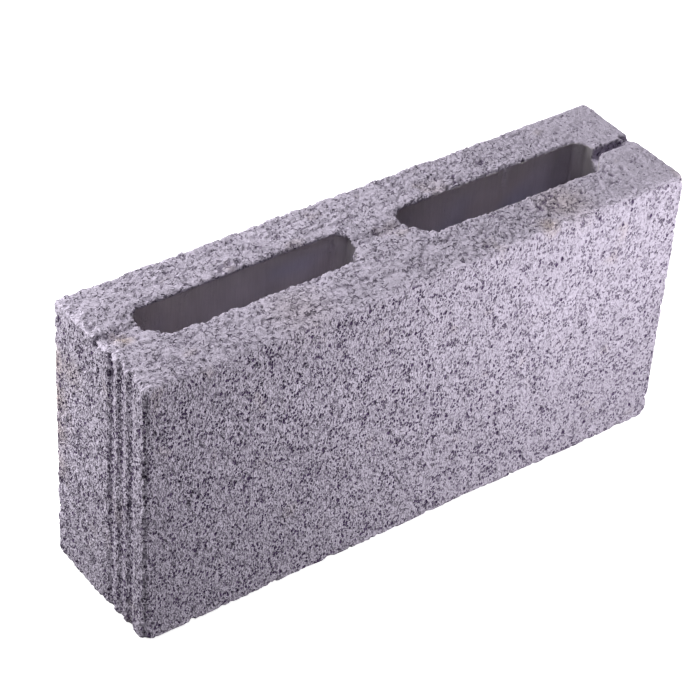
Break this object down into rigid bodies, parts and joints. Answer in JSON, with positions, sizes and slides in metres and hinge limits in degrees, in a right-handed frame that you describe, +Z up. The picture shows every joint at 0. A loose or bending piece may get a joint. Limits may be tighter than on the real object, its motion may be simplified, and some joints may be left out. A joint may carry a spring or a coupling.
{
  "type": "concrete block",
  "caption": "Hollow concrete partition block with long core slots through its height, core-bar marks across its top face and shallow upright grooves in one end.",
  "frame": {"origin": "middle of the lower bed face, which is the middle of the bounding box at its bottom", "axes": "+X along the length, towards the end with the deep bar slot; +Y through the thickness, towards the back face; +Z up, towards the face with the core-bar marks"},
  "size_m": [0.39, 0.095, 0.19],
  "materials": {
    "concrete": "coarse, open-textured pressed concrete, matt, with crumbly aggregate on the top face"
  },
  "bodies": {
    "root": {"block": "concrete"}
  },
  "joints": []
}
